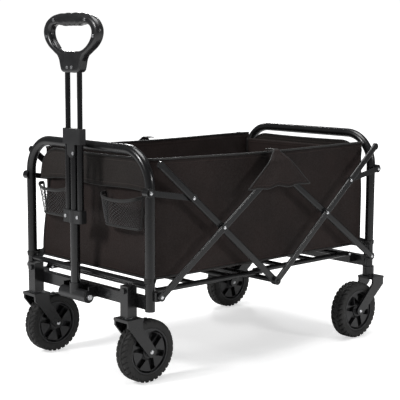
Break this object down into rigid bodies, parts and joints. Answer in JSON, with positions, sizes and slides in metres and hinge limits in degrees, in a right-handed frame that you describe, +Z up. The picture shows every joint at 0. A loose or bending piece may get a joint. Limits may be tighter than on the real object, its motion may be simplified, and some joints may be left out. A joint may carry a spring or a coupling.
{
  "type": "folding camp wagon",
  "caption": "Folding fabric camp wagon with scissor side bars, front casters, fixed rear wheels, cup pockets and a telescoping pull handle with a triangular grip.",
  "frame": {"origin": "on the ground, under the middle of the wagon's overall length and width", "axes": "+X from the pull handle towards the rear, +Y towards the right side, +Z up; the left side is -Y"},
  "size_m": [0.876, 0.559, 0.872],
  "materials": {
    "black_tube": "satin black powder coat",
    "black_enamel": "semi-gloss black enamel",
    "bright_steel": "zinc plated",
    "dark_canvas": "brown-black polyester canvas, coarse plain weave",
    "netting": "open black mesh with a bound rim",
    "black_moulding": "fine grained black moulding",
    "tyre_rubber": "matte black"
  },
  "bodies": {
    "front_frame": {"front_loop": "black_tube", "front_post_plugs": "black_moulding", "front_cross_tubes": "black_tube", "front_brackets": "black_tube", "front_frame_pins": "bright_steel", "caster_sleeves": "black_tube", "handle_bracket": "black_tube", "handle_bolt": "bright_steel", "basket_front": "dark_canvas", "basket_side_left": "dark_canvas", "basket_side_right": "dark_canvas", "basket_bottom": "dark_canvas", "cup_pocket_left": "netting", "cup_pocket_right": "netting"},
    "front_rising_pair": {"front_rising_bars": "black_tube", "front_cross_rivets": "bright_steel", "side_flaps": "dark_canvas"},
    "front_falling_pair": {"front_falling_bars": "black_tube", "hub_tube": "black_tube", "front_link_rivets": "bright_steel"},
    "rear_rising_pair": {"rear_rising_bars": "black_tube", "rear_bar_rivets": "bright_steel"},
    "rear_falling_pair": {"rear_falling_bars": "black_tube", "rear_link_rivets": "bright_steel"},
    "rear_frame": {"rear_loop": "black_tube", "rear_cross_tubes": "black_tube", "rear_brackets": "black_tube", "rear_frame_pins": "bright_steel", "rear_fork_left": "black_tube", "rear_fork_right": "black_tube", "rear_axles": "bright_steel", "basket_rear": "dark_canvas"},
    "front_link_pair": {"front_links": "black_tube"},
    "rear_link_pair": {"rear_links": "black_tube"},
    "floor_front": {"floor_frame_front": "black_tube"},
    "floor_rear": {"floor_frame_rear": "black_tube"},
    "caster_left": {"caster_fork_left": "black_tube", "caster_pins_left": "bright_steel"},
    "caster_right": {"caster_fork_right": "black_tube", "caster_pins_right": "bright_steel"},
    "front_wheel_left": {"front_tyre_left": "tyre_rubber", "front_rim_left": "black_moulding"},
    "front_wheel_right": {"front_tyre_right": "tyre_rubber", "front_rim_right": "black_moulding"},
    "rear_wheel_left": {"rear_tyre_left": "tyre_rubber", "rear_rim_left": "black_moulding"},
    "rear_wheel_right": {"rear_tyre_right": "tyre_rubber", "rear_rim_right": "black_moulding"},
    "handle": {"handle_hub": "black_moulding", "handle_tubes": "black_enamel", "handle_clamp": "black_moulding", "clamp_rivets": "bright_steel", "handle_collar": "black_moulding"},
    "grip": {"handle_rods": "black_enamel", "grip_front_half": "black_moulding", "grip_rear_half": "black_moulding", "grip_screws": "bright_steel"}
  },
  "joints": [
    {"name": "fold", "type": "hinge", "parent": "front_frame", "child": "front_rising_pair", "pos_m": [-0.3745, 0, 0.221], "axis": [0, -1, 0], "range_deg": [0, 47.5], "deforming": ["basket_side_left", "basket_side_right", "basket_bottom", "side_flaps"]},
    {"name": "top_hinge", "type": "hinge", "parent": "front_rising_pair", "child": "rear_rising_pair", "pos_m": [0.0135, 0, 0.49776], "axis": [0, -1, 0], "range_deg": [-95.02, 0]},
    {"name": "rear_pivot", "type": "hinge", "parent": "rear_rising_pair", "child": "rear_frame", "pos_m": [0.4015, 0, 0.221], "axis": [0, -1, 0], "range_deg": [0, 47.52]},
    {"name": "front_crossing", "type": "hinge", "parent": "front_rising_pair", "child": "front_falling_pair", "pos_m": [-0.1745, 0, 0.36366], "axis": [0, -1, 0], "range_deg": [-90.72, 0]},
    {"name": "rear_crossing", "type": "hinge", "parent": "rear_rising_pair", "child": "rear_falling_pair", "pos_m": [0.2015, 0, 0.36366], "axis": [0, -1, 0], "range_deg": [0, 90.72]},
    {"name": "front_link_pivot", "type": "hinge", "parent": "front_frame", "child": "front_link_pair", "pos_m": [-0.3945, 0, 0.464], "axis": [0, -1, 0], "range_deg": [0, 83.4]},
    {"name": "rear_link_pivot", "type": "hinge", "parent": "rear_frame", "child": "rear_link_pair", "pos_m": [0.4215, 0, 0.464], "axis": [0, -1, 0], "range_deg": [-83.4, 0]},
    {"name": "front_floor_hinge", "type": "hinge", "parent": "front_frame", "child": "floor_front", "pos_m": [-0.3525, 0, 0.221], "axis": [0, -1, 0], "range_deg": [0, 84.36]},
    {"name": "rear_floor_hinge", "type": "hinge", "parent": "rear_frame", "child": "floor_rear", "pos_m": [0.3795, 0, 0.221], "axis": [0, -1, 0], "range_deg": [-84.36, 0]},
    {"name": "caster_swivel_left", "type": "hinge", "parent": "front_frame", "child": "caster_left", "pos_m": [-0.4105, -0.19, 0.165], "axis": [0, 0, 1], "continuous": true},
    {"name": "front_wheel_spin_left", "type": "hinge", "parent": "caster_left", "child": "front_wheel_left", "pos_m": [-0.3605, -0.19, 0.077], "axis": [0, 1, 0], "continuous": true},
    {"name": "rear_wheel_spin_left", "type": "hinge", "parent": "rear_frame", "child": "rear_wheel_left", "pos_m": [0.3405, -0.25, 0.077], "axis": [0, 1, 0], "continuous": true},
    {"name": "caster_swivel_right", "type": "hinge", "parent": "front_frame", "child": "caster_right", "pos_m": [-0.4105, 0.19, 0.165], "axis": [0, 0, 1], "continuous": true},
    {"name": "front_wheel_spin_right", "type": "hinge", "parent": "caster_right", "child": "front_wheel_right", "pos_m": [-0.3605, 0.19, 0.077], "axis": [0, 1, 0], "continuous": true},
    {"name": "rear_wheel_spin_right", "type": "hinge", "parent": "rear_frame", "child": "rear_wheel_right", "pos_m": [0.3405, 0.25, 0.077], "axis": [0, 1, 0], "continuous": true},
    {"name": "handle_pivot", "type": "hinge", "parent": "front_frame", "child": "handle", "pos_m": [-0.4235, 0, 0.192], "axis": [0, -1, 0], "range_deg": [0, 80]},
    {"name": "handle_slide", "type": "slide", "parent": "handle", "child": "grip", "axis": [0, 0, -1], "range_m": [0, 0.13]}
  ],
  "couplings": [
    {"joint": "top_hinge", "follows": "fold", "ratio": -2},
    {"joint": "rear_pivot", "follows": "fold", "ratio": 1},
    {"joint": "front_crossing", "follows": "fold", "ratio": -1.9094},
    {"joint": "rear_crossing", "follows": "fold", "ratio": 1.9094},
    {"joint": "front_link_pivot", "follows": "fold", "ratio": 1.7554},
    {"joint": "rear_link_pivot", "follows": "fold", "ratio": -1.7554},
    {"joint": "front_floor_hinge", "follows": "fold", "ratio": 1.7756},
    {"joint": "rear_floor_hinge", "follows": "fold", "ratio": -1.7756}
  ]
}
